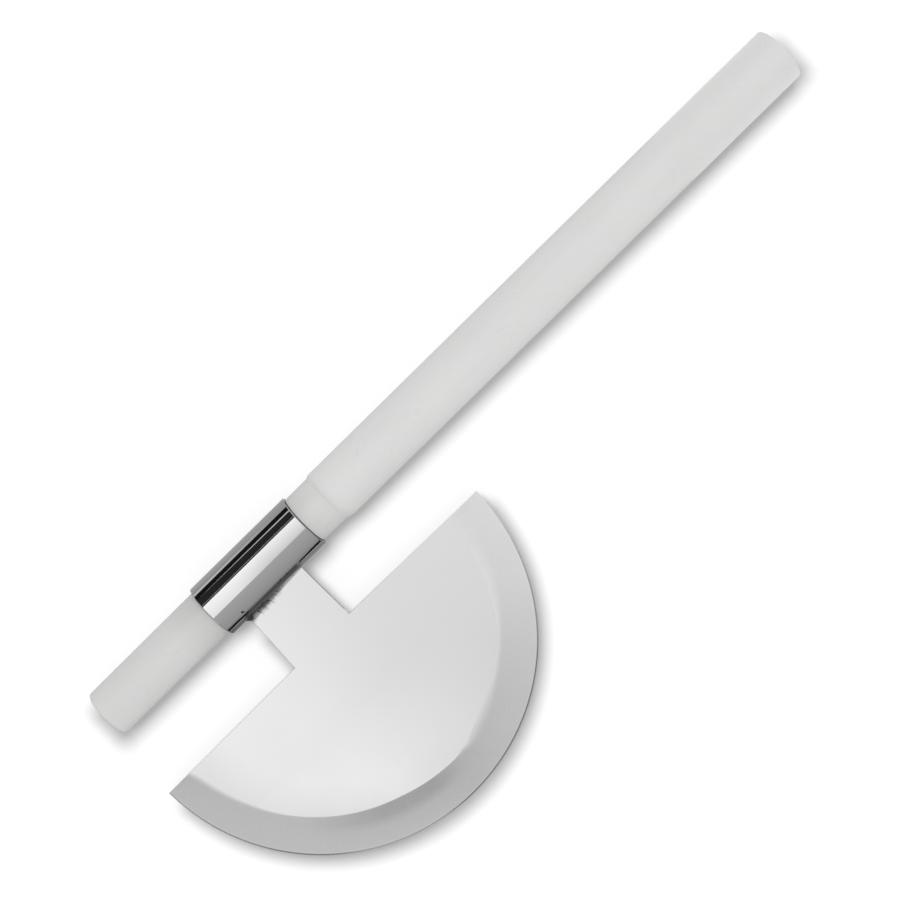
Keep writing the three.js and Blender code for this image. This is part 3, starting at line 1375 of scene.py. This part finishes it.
@dataclass
class WeldBead(SubAssembly):
    """The weld runs in the two corners between tang and tube, and drops of spatter on the tube."""

    layout: Layout
    blade: Blade
    toe_reach: Pair = (3.0 * MM, 0.5 * MM)
    rise_angle: Pair = (24.0, 14.0)
    stub_reach: float = 2.8 * MM
    grip_reach: float = 0.4 * MM
    sink: float = 0.35 * MM
    split_gap: float = 0.15 * MM
    ripple_pitch: float = 1.9 * MM
    ripple_depth: float = 0.04 * MM
    ripple_lean: float = 0.5
    ripple_wander: float = 0.6
    ripple_seed: float = 9.7
    rise_seed: float = 5.1
    toe_seed: float = 2.3
    fade_power: float = 1.4
    lump_size: float = 4.0 * MM
    lump_share: float = 0.26
    lump_finer: Pair = (0.6, 2.9)
    spatter: tuple[Drop, ...] = (
        Drop(-15.9 * MM, 41.5, 45.0, (1.05 * MM, 0.62 * MM, 0.45 * MM)),
        Drop(5.6 * MM, 54.0, 20.0, (0.9 * MM, 0.65 * MM, 0.5 * MM)),
        Drop(8.4 * MM, 52.5, 70.0, (0.85 * MM, 0.7 * MM, 0.5 * MM)),
        Drop(12.6 * MM, 50.5, 30.0, (0.45 * MM, 0.35 * MM, 0.25 * MM)),
    )
    drop_lump: Pair = (0.25, 1.6)
    drop_detail: int = 3
    sharp_angle: float = 60.0
    ring_pitch: float = 0.22 * MM
    curve_steps: int = 28

    def run(self, grid: bmesh.types.BMesh, cheek: Cheek) -> None:
        """Add a weld run along one face of the tang, which wraps round the tang's corner on the stub's side.

        Args:
            grid: the bmesh that takes the run.
            cheek: the face of the tang.
        """
        low, high = self.blade.tang_root
        start = low - self.stub_reach
        length = high + self.grip_reach - start
        count = int(length / self.ring_pitch)
        rings = []
        for i in range(1, count):
            section = self.section(start + length * i / count, cheek)
            rings.append([grid.verts.new((point.x, point.y, point.z * cheek.value)) for point in section])
        for near, far in zip(rings, rings[1:]):
            for j in range(len(near)):
                k = (j + 1) % len(near)
                grid.faces.new((near[j], near[k], far[k], far[j]))
        grid.faces.new(rings[0])
        grid.faces.new(rings[-1])

    def taper(self, place: float) -> float:
        """How full the run is: it fades out past the stub's corner and stops short past the grip's.

        Args:
            place: place along the run.

        Returns:
            The share of the full section.
        """
        low, high = self.blade.tang_root
        if place < low:
            return (1.0 + (place - low) / self.stub_reach) ** self.fade_power
        if place > high:
            return math.sqrt(1.0 - ((place - high) / self.grip_reach) ** 2)
        return 1.0

    def lump(self, place: float, seed: float) -> float:
        """A factor about 1 that wanders along the run.

        Args:
            place: place along the run.
            seed: a number that sets one wandering apart from another.

        Returns:
            The factor.
        """
        spot = Vector((place / self.lump_size, seed, 0.0))
        share, finer = self.lump_finer
        return 1.0 + self.lump_share * (noise.noise(spot) + share * noise.noise(spot * finer))

    def section(self, place: float, cheek: Cheek) -> list[Vector]:
        """The run's section: a hollow fillet from the tang to the tube, closed by a root sunk into both.

        Args:
            place: place along the run.
            cheek: the face of the tang.

        Returns:
            Points round the section, over the upper face of the tang.
        """
        radius = self.layout.tube_radius
        full = self.taper(place)
        low, high = self.blade.tang_root
        half = self.blade.thickness / 2
        on_tang = low < place < high
        base = half if on_tang else self.split_gap
        floor = half - self.sink if on_tang else self.split_gap / 2
        corner = math.asin(base / radius)
        along = min(max((place - low) / (high - low), 0.0), 1.0)
        pairs = (self.toe_reach, self.rise_angle)
        reach, rise_angle = (first + (last - first) * along for first, last in pairs)
        rise_lump = self.lump(place, self.rise_seed + cheek.value)
        rise = corner + (math.radians(rise_angle) - corner) * full * rise_lump
        foot = radius * math.cos(rise) + (radius * math.sin(rise) - base) * math.tan(rise)
        toe_lump = self.lump(place, self.toe_seed * cheek.value)
        toe = max(radius + reach * full * toe_lump, foot + self.split_gap)
        curve = (Vector((place, -toe, base)), Vector((place, -foot, base)),
                 Vector((place, -radius * math.cos(rise), radius * math.sin(rise))))
        wander = self.ripple_wander * self.lump(place, self.ripple_seed)
        points = []
        for j in range(self.curve_steps + 1):
            share = j / self.curve_steps
            point = curve[0].lerp(curve[1], share).lerp(curve[1].lerp(curve[2], share), share)
            wave = place / self.ripple_pitch + self.ripple_lean * share + wander
            ripple = self.ripple_depth * full * abs(math.sin(math.pi * wave)) * math.sin(math.pi * share)
            points.append(point + Vector((0.0, ripple * share, -ripple * (1.0 - share))))
        sunk = radius - self.sink
        points.append(Vector((place, -sunk * math.cos(rise), sunk * math.sin(rise))))
        points.append(Vector((place, -sunk * math.cos(corner), floor)))
        points.append(Vector((place, -toe, floor)))
        return points

    def drop(self, grid: bmesh.types.BMesh, drop: Drop) -> None:
        """Add a drop of spatter, half sunk into the tube.

        Args:
            grid: the bmesh that takes the drop.
            drop: its place and size.
        """
        angle = math.radians(drop.angle)
        out = Vector((0.0, -math.sin(angle), math.cos(angle)))
        place = Vector((drop.place, 0.0, 0.0)) + out * self.layout.tube_radius
        lean = Matrix.Rotation(angle, 4, "X") @ Matrix.Rotation(math.radians(-drop.turn), 4, "Z")
        matrix = Matrix.Translation(place) @ lean @ Matrix.Diagonal((*drop.size, 1.0))
        made = bmesh.ops.create_icosphere(grid, subdivisions=self.drop_detail, radius=1.0)
        share, finer = self.drop_lump
        for vert in made["verts"]:
            lump = 1.0 + share * noise.noise(vert.co * finer)
            vert.co = matrix @ (vert.co * lump)

    def build(self) -> list[bpy.types.Object]:
        """Build and dress both runs.

        Returns:
            The upper run with its drops of spatter, then the lower run.
        """
        material = WeldMetal(self.layout).material()
        pieces = []
        for cheek in Cheek:
            side = cheek.name.lower()
            grid = bmesh.new()
            self.run(grid, cheek)
            if cheek is Cheek.UPPER:
                for drop in self.spatter:
                    self.drop(grid, drop)
            mesh = closed_mesh(f"weld_run_{side}", grid)
            smooth(mesh, self.sharp_angle)
            mesh.materials.append(material)
            pieces.append(settle(mesh.name, f"weld_bead_{side}", mesh, self.layout))
        return pieces


def level_corners(ends: Pair, sides: Pair, height: float) -> list[Point]:
    """Corners of a level rectangle.

    Args:
        ends: its least and greatest X.
        sides: its least and greatest Y.
        height: its height over the floor.

    Returns:
        The corners, along X first and then round.
    """
    left, right = ends
    near, far = sides
    return [(left, near, height), (right, near, height), (right, far, height), (left, far, height)]


def staged_sheet(name: str, corners: Sequence[Point]) -> bpy.types.Object:
    """Hang a flat sheet that belongs to the stage.

    Args:
        name: the sheet's name.
        corners: its corners in the row frame, in order.

    Returns:
        The sheet.
    """
    mesh = bpy.data.meshes.new(name)
    mesh.from_pydata(corners, [], [tuple(range(len(corners)))])
    sheet = bpy.data.objects.new(name, mesh)
    bpy.context.scene.collection.objects.link(sheet)
    return sheet


@dataclass(frozen=True)
class Card:
    """A flat card that only shows in reflections: a soft box, a flag or a sheet.

    A card of four corners may change in brightness: along its first side over the ramp, and across to the
    opposite side.
    """

    name: str
    corners: Sequence[Point]
    levels: Four
    ramp: Pair = (0.0, 1.0)
    one_sided: bool = False

    def hang(self) -> None:
        """Hang the card in the scene."""
        card = staged_sheet(self.name, self.corners)
        layer = card.data.uv_layers.new(name="across")
        for loop, uv in zip(layer.data, ((0.0, 0.0), (1.0, 0.0), (1.0, 1.0), (0.0, 1.0))):
            loop.uv = uv
        card.visible_camera = False
        card.visible_diffuse = False
        card.visible_shadow = False
        material, nodes = blank_material(self.name)
        u, v, _ = nodes.split(nodes.add("TexCoord").outputs["UV"])
        first = nodes.spread(u, *self.ramp, self.levels[0], self.levels[1])
        last = nodes.spread(u, *self.ramp, self.levels[3], self.levels[2])
        emission = nodes.add("Emission", {"Strength": nodes.spread(v, 0.0, 1.0, first, last)})
        surface = emission.outputs[0]
        if self.one_sided:
            behind = nodes.add("NewGeometry").outputs["Backfacing"]
            clear = nodes.add("BsdfTransparent").outputs[0]
            surface = nodes.add("MixShader", {0: behind, 1: surface, 2: clear}).outputs[0]
        nodes.add("OutputMaterial", {"Surface": surface})
        material.cycles.emission_sampling = "NONE"
        card.data.materials.append(material)


@dataclass(frozen=True)
class FloorSheet:
    """A sheet on the floor for the polish to mirror: its sides behind the handle's axis, and its levels."""

    name: str
    near: float
    far: float
    stub_level: float
    grip_level: float


@dataclass
class Studio:
    """The stage: white floor, plain sky, soft lamps, cards for the steel to mirror, and a camera."""

    layout: Layout
    camera_along: float = 214.5 * MM
    camera_aside: float = -25.9 * MM
    camera_height: float = 913.0 * MM
    camera_turn: float = -44.51
    focal_pixels: float = 1826.0
    image_pixels: float = 900.0
    sensor: float = 36.0
    sky: float = 0.83
    floor_size: float = 60.0
    floor_matte: float = 0.2
    floor_glow: float = 0.26
    floor_bounce: float = 0.7
    floor_sun: float = 2.95
    floor_sun_tilt: float = 17.0
    floor_sun_width: float = 28.0
    key_level: float = 0.2
    key_height: float = 1.6
    key_aside: float = -0.4
    key_size: float = 1.4
    box_height: float = 1.6
    box_ends: Pair = (-0.68, 1.2)
    box_angles: Pair = (24.0, 33.0)
    box_levels: Four = (1.335, 1.05, 1.58, 1.64)
    box_ramp: Pair = (0.129, 0.218)
    sheet_gap: float = 0.03
    front_sheet_reach: float = 2.2
    front_sheet_overhang: float = 1.0
    front_sheet_levels: Pair = (0.47, 0.62)
    stub_sheet_reach: float = 1.1
    stub_sheet_levels: Pair = (0.5, 0.68)
    grip_sheet_gap: float = 0.05
    grip_sheet_levels: Pair = (0.5, 0.62)
    floor_sheet_reach: float = 0.3
    floor_sheet_height: float = 0.3 * MM
    floor_sheet_ramp: Pair = (0.42, 0.54)
    # Painted shade: the contact, gap and shaded sheets are dark where the floor lies in shade round the tube
    # and under the blade, for the polish to mirror.
    floor_sheets: tuple[FloorSheet, ...] = (
        FloorSheet("far_back_floor_sheet", 0.30, 0.60, 0.50, 0.50),
        FloorSheet("back_floor_sheet", 0.096, 0.30, 0.84, 0.50),
        FloorSheet("back_line_floor_sheet", 0.078, 0.096, 0.14, 0.50),
        FloorSheet("near_back_floor_sheet", 0.012, 0.078, 0.54, 0.52),
        FloorSheet("contact_shade_floor_sheet", -0.012, 0.012, 0.02, 0.02),
        FloorSheet("gap_shade_floor_sheet", -0.046, -0.012, 0.15, 0.32),
        FloorSheet("shaded_floor_sheet", -0.165, -0.049, 0.02, 0.02),
        FloorSheet("front_floor_sheet", -2.2, -0.165, 0.46, 0.46),
    )
    view_lean: float = 1.62
    flag_distance: float = 45.0 * MM
    flag_ends: Pair = (-65.0 * MM, 45.0 * MM)
    flag_angles: Pair = (-2.4, 57.17)
    slit: Pair = (18.78, 23.85)
    slit_ends: Pair = (-36.0 * MM, 32.0 * MM)
    hairline_slit: Pair = (50.57, 51.59)
    flag_levels: tuple[float, float, float] = (0.012, 0.03, 0.03)
    chord_flag_away: float = 48.9 * MM
    chord_flag_heights: Pair = (9.0 * MM, 13.6 * MM)
    chord_flag_ends: tuple[float, float, float] = (21.0 * MM, 28.0 * MM, 60.0 * MM)
    chord_flag_level: float = 0.01
    shade_height: float = 20.0 * MM
    shade_radius: float = 111.5 * MM
    shade_centre: float = 46.7 * MM
    shade_aside: float = -0.7 * MM
    shade_chord: float = 53.0 * MM
    shade_tang: tuple[float, float, float] = (-21.2 * MM, 19.0 * MM, 20.0 * MM)
    shade_steps: int = 64
    handle_shade_height: float = 23.0 * MM
    handle_shade_past: float = 9.8 * MM
    handle_shade_sides: Pair = (-11.5 * MM, 14.0 * MM)

    def cards(self) -> None:
        """Hang a soft box overhead, grey sheets round it, black flags by the tube and floor sheets."""
        x, y, _ = self.layout.position
        left, right = self.box_ends
        front_run, back_run = (self.box_height * math.tan(math.radians(angle)) for angle in self.box_angles)
        front, back = y - front_run, y + back_run
        box = level_corners(self.box_ends, (front, back), self.box_height)
        Card("soft_box", box, self.box_levels, self.box_ramp).hang()
        start, end = left - self.front_sheet_overhang, right + self.front_sheet_overhang
        low, high = y - self.front_sheet_reach, front - self.sheet_gap
        foot, head = ((start, low), (end, low)), ((start, high), (end, high))
        self.sheet("front_sheet", foot, head, self.front_sheet_levels)
        low, high = left - self.stub_sheet_reach, left - self.sheet_gap
        foot, head = ((low, back), (low, front)), ((high, back), (high, front))
        self.sheet("stub_sheet", foot, head, self.stub_sheet_levels)
        side = right + self.grip_sheet_gap
        upright = ((side, back), (side, front))
        self.sheet("grip_sheet", upright, upright, self.grip_sheet_levels)
        self.back_flags()
        self.chord_flags()
        ends = (x - self.floor_sheet_reach, x + self.floor_sheet_reach)
        for sheet in self.floor_sheets:
            corners = level_corners(ends, (y + sheet.near, y + sheet.far), self.floor_sheet_height)
            levels = (sheet.stub_level, sheet.grip_level, sheet.grip_level, sheet.stub_level)
            Card(sheet.name, corners, levels, self.floor_sheet_ramp).hang()

    def sheet(self, name: str, foot: tuple[Pair, Pair], head: tuple[Pair, Pair], levels: Pair) -> None:
        """Hang a grey sheet from the soft box's height down to the floor.

        Args:
            name: the sheet's name.
            foot: its two corners on the floor.
            head: its two upper corners, in the same order.
            levels: its brightness at the floor and at the top.
        """
        top = self.box_height
        corners = [(*foot[0], 0.0), (*foot[1], 0.0), (*head[1], top), (*head[0], top)]
        low, high = levels
        Card(name, corners, (low, low, high, high)).hang()

    def back_flags(self) -> None:
        """Stand small black flags behind the tube, with a slit that tapers off and a hairline slit above."""
        x, y, _ = self.layout.position
        start, end = (x + place for place in self.flag_ends)
        near, far = (x + place for place in self.slit_ends)

        def up(angle: float) -> float:
            """Height where a ray that the tube mirrors to the camera meets the flags.

            Args:
                angle: the ray's elevation, in degrees.

            Returns:
                The height over the floor.
            """
            lean = math.radians((90.0 - self.view_lean - angle) / 2)
            radius = self.layout.tube_radius
            run = self.flag_distance - radius * math.sin(lean)
            return self.layout.position.z + radius * math.cos(lean) + run * math.tan(math.radians(angle))

        bottom, top = (up(angle) for angle in self.flag_angles)
        low, high = (up(angle) for angle in self.slit)
        hair_low, hair_high = (up(angle) for angle in self.hairline_slit)
        foot = ((start, bottom), (end, bottom), (end, low), (start, low))
        middle = ((start, low), (near, low), (far, high), (end, high), (end, hair_low), (start, hair_low))
        head = ((start, hair_high), (end, hair_high), (end, top), (start, top))
        plans = {"foot_flag": foot, "middle_flag": middle, "head_flag": head}
        for (name, plan), level in zip(plans.items(), self.flag_levels):
            corners = [(along, y + self.flag_distance, height) for along, height in plan]
            Card(name, corners, (level,) * 4).hang()

    def chord_flags(self) -> None:
        """Stand low black flags before the chord, one on each side of the tang, for the tube to mirror:
        painted shade that stands in for the dark gap under the blade.
        """
        x, y = self.layout.position.x, self.layout.position.y - self.chord_flag_away
        low, high = self.chord_flag_heights
        for name, side in (("stub_chord_flag", -1.0), ("grip_chord_flag", 1.0)):
            foot, head, far = (x + side * end for end in self.chord_flag_ends)
            plan = [(foot, y, low), (far, y, low), (far, y, high), (head, y, high)]
            if side > 0.0:
                plan.reverse()
            Card(name, plan, (self.chord_flag_level,) * 4, one_sided=True).hang()

    def blade_shade(self) -> bpy.types.Object:
        """Hold a card cut like the blade over it, which softens the sun on the floor round the cutting edge.

        Returns:
            The card.
        """
        centre = self.layout.position + Vector((self.shade_aside, -self.shade_centre, 0.0))
        chord = self.layout.position.y - self.shade_chord
        limit = math.acos((centre.y - chord) / self.shade_radius)
        corners = []
        for i in range(self.shade_steps + 1):
            angle = limit * (2.0 * i / self.shade_steps - 1.0)
            x = centre.x + self.shade_radius * math.sin(angle)
            corners.append((x, centre.y - self.shade_radius * math.cos(angle), self.shade_height))
        low, high, near = self.shade_tang
        for side, away in ((high, self.shade_chord), (high, near), (low, near), (low, self.shade_chord)):
            corners.append((centre.x + side, self.layout.position.y - away, self.shade_height))
        return self.shade("blade_shade", corners)

    def handle_shade(self) -> bpy.types.Object:
        """Hold a strip over the handle, which carries its shadow a little past both ends.

        Returns:
            The strip.
        """
        x, y, _ = self.layout.position
        past = self.handle_shade_past
        ends = (x + self.layout.stub_end - past, x + self.layout.grip_end + past)
        low, high = (y + side for side in self.handle_shade_sides)
        return self.shade("handle_shade", level_corners(ends, (low, high), self.handle_shade_height))

    def shade(self, name: str, corners: Sequence[Point]) -> bpy.types.Object:
        """Hang a level card that only casts a shadow.

        Args:
            name: the card's name.
            corners: its corners in the row frame, in order.

        Returns:
            The card.
        """
        card = staged_sheet(name, corners)
        card.visible_camera = False
        card.visible_diffuse = False
        card.visible_glossy = False
        return card

    def floor(self) -> bpy.types.Object:
        """Lay the white floor, which keeps the tool's shadow.

        Returns:
            The floor.
        """
        half = self.floor_size / 2
        floor = staged_sheet("floor", level_corners((-half, half), (-half, half), 0.0))
        material, nodes = blank_material("white_floor")
        rays = nodes.add("LightPath").outputs
        seen = nodes.plus(rays["Is Camera Ray"], rays["Is Glossy Ray"])
        seen = nodes.math("MINIMUM", nodes.plus(seen, rays["Is Transmission Ray"]), 1.0)
        matte = nodes.add("BsdfDiffuse", {"Color": grey(self.floor_matte)})
        seen = nodes.math("MAXIMUM", seen, self.floor_bounce)
        glow = nodes.add("Emission", {"Strength": nodes.times(seen, self.floor_glow)})
        both = nodes.add("AddShader", {0: matte.outputs[0], 1: glow.outputs[0]})
        nodes.add("OutputMaterial", {"Surface": both.outputs[0]})
        floor.data.materials.append(material)
        return floor

    def lamps(self, floor: bpy.types.Object, pieces: Sequence[bpy.types.Object]) -> None:
        """Hang the overhead lamp, and the sun that draws the tool's shadow on the floor.

        Args:
            floor: the floor, which alone is lit by the sun.
            pieces: the tool's pieces, which cast shadows.
        """
        key = bpy.data.lights.new("overhead", "AREA")
        key.shape = "SQUARE"
        key.size = self.key_size
        key.energy = self.key_level * math.pi * math.pi * self.key_height ** 2
        key_object = bpy.data.objects.new("overhead", key)
        key_object.location = self.layout.position + Vector((0.0, self.key_aside, self.key_height))
        key_object.visible_camera = False
        key_object.visible_glossy = False
        sun = bpy.data.lights.new("floor_sun", "SUN")
        sun.energy = self.floor_sun * math.pi
        sun.angle = math.radians(self.floor_sun_width)
        sun_object = bpy.data.objects.new("floor_sun", sun)
        sun_object.rotation_euler = (math.radians(-self.floor_sun_tilt), 0.0, 0.0)
        key_object.light_linking.blocker_collection = self.linked("shading_the_tool", pieces)
        sun_object.light_linking.receiver_collection = self.linked("lit_by_floor_sun", [floor])
        shades = [self.blade_shade(), self.handle_shade()]
        sun_object.light_linking.blocker_collection = self.linked("shading_the_floor", [*pieces, *shades])
        for lamp in (key_object, sun_object):
            bpy.context.scene.collection.objects.link(lamp)

    def linked(self, name: str, members: Sequence[bpy.types.Object]) -> bpy.types.Collection:
        """A collection of objects for a lamp's light linking.

        Args:
            name: the collection's name.
            members: its objects.

        Returns:
            The collection.
        """
        made = bpy.data.collections.new(name)
        for member in members:
            made.objects.link(member)
        return made

    def world(self) -> None:
        """Light everything with a plain pale sky."""
        world = bpy.data.worlds.new("sky")
        world.use_nodes = True
        world.node_tree.nodes["Background"].inputs["Color"].default_value = grey(1.0)
        world.node_tree.nodes["Background"].inputs["Strength"].default_value = self.sky
        bpy.context.scene.world = world

    def camera(self) -> None:
        """Look straight down on the tool from the place that the photograph was taken from."""
        data = bpy.data.cameras.new("camera")
        data.sensor_width = self.sensor
        data.lens = self.sensor * self.focal_pixels / self.image_pixels
        camera = bpy.data.objects.new("camera", data)
        stub = self.layout.position + Vector((self.layout.stub_end, 0.0, 0.0))
        camera.location = stub + Vector((self.camera_along, self.camera_aside, self.camera_height))
        camera.rotation_euler = (0.0, 0.0, math.radians(self.camera_turn))
        bpy.context.scene.collection.objects.link(camera)
        bpy.context.scene.camera = camera

    def build(self, pieces: Sequence[bpy.types.Object]) -> None:
        """Set the stage round the tool.

        Args:
            pieces: the tool's pieces.
        """
        bpy.context.scene.view_settings.view_transform = "Standard"
        self.world()
        self.cards()
        self.lamps(self.floor(), pieces)
        self.camera()


def main() -> None:
    """Build the tool's pieces in order, then the stage round them."""
    logging.basicConfig(level=logging.INFO, format="%(name)s: %(message)s")
    layout = Layout.read()
    tube = SocketTube(layout)
    blade = Blade(layout)
    pieces: list[bpy.types.Object] = []
    for assembly in (Handle(layout, tube), tube, blade, WeldBead(layout, blade)):
        for piece in assembly.build():
            LOG.info("%s has %d faces", piece.name, len(piece.data.polygons))
            pieces.append(piece)
    Studio(layout).build(pieces)


if __name__ == "__main__":
    main()
